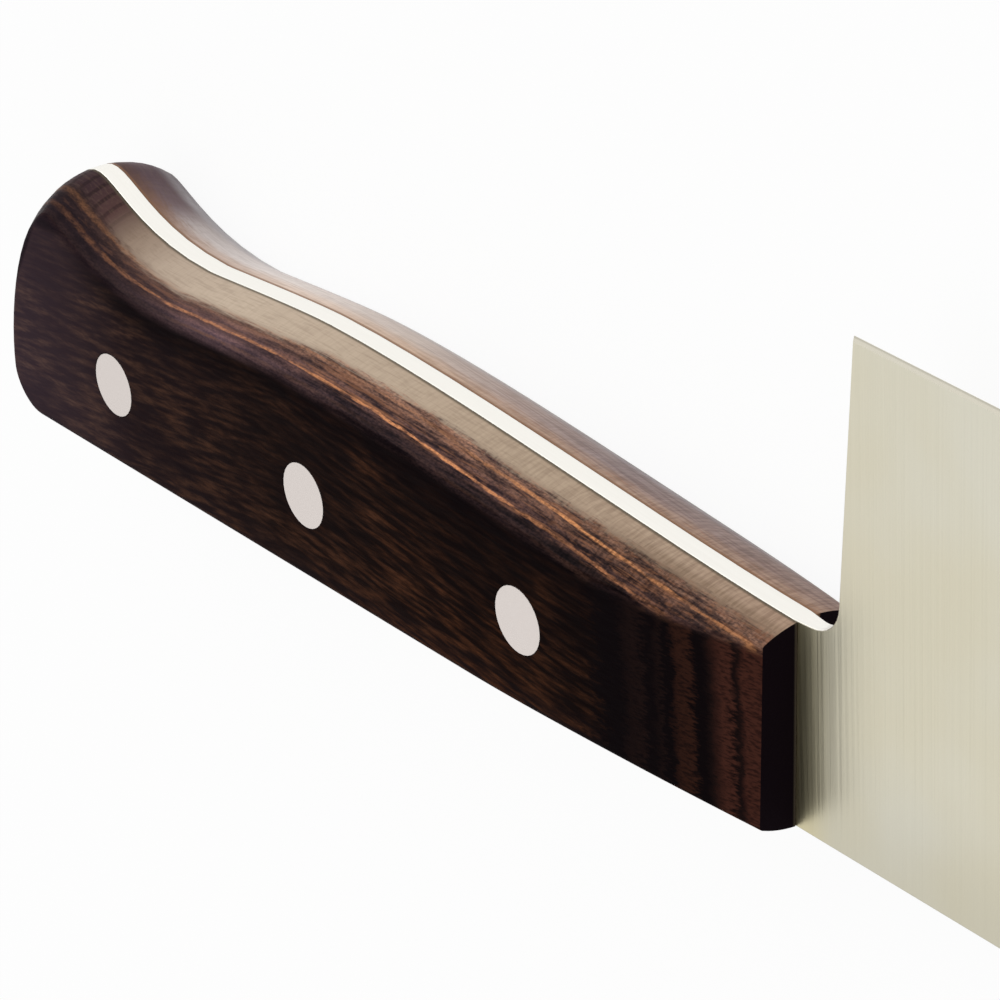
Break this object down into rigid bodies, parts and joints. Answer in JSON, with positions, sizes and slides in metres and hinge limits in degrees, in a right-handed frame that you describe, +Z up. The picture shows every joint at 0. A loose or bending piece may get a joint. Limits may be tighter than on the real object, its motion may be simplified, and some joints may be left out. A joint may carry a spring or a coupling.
{
  "type": "santoku knife",
  "caption": "Full-tang santoku knife with a sheep's-foot blade, crowned laminated-wood handle scales and flush rivets, for slicing, dicing and chopping food.",
  "frame": {"origin": "below the middle of the knife's bounding box, in the plane that it lies on", "axes": "+X along the knife towards the tip, +Y towards the cutting edge, +Z up out of the blade's left face"},
  "size_m": [0.2898, 0.0476, 0.015],
  "materials": {
    "blade_steel": "satin",
    "handle_wood": "polished dark laminate",
    "rivet_steel": "satin"
  },
  "bodies": {
    "root": {"blade": "blade_steel", "handle_scale_left": "handle_wood", "handle_scale_right": "handle_wood", "rivet_rear_tube_half": "rivet_steel", "rivet_rear_pin_half": "rivet_steel", "rivet_middle_tube_half": "rivet_steel", "rivet_middle_pin_half": "rivet_steel", "rivet_front_tube_half": "rivet_steel", "rivet_front_pin_half": "rivet_steel"}
  },
  "joints": []
}
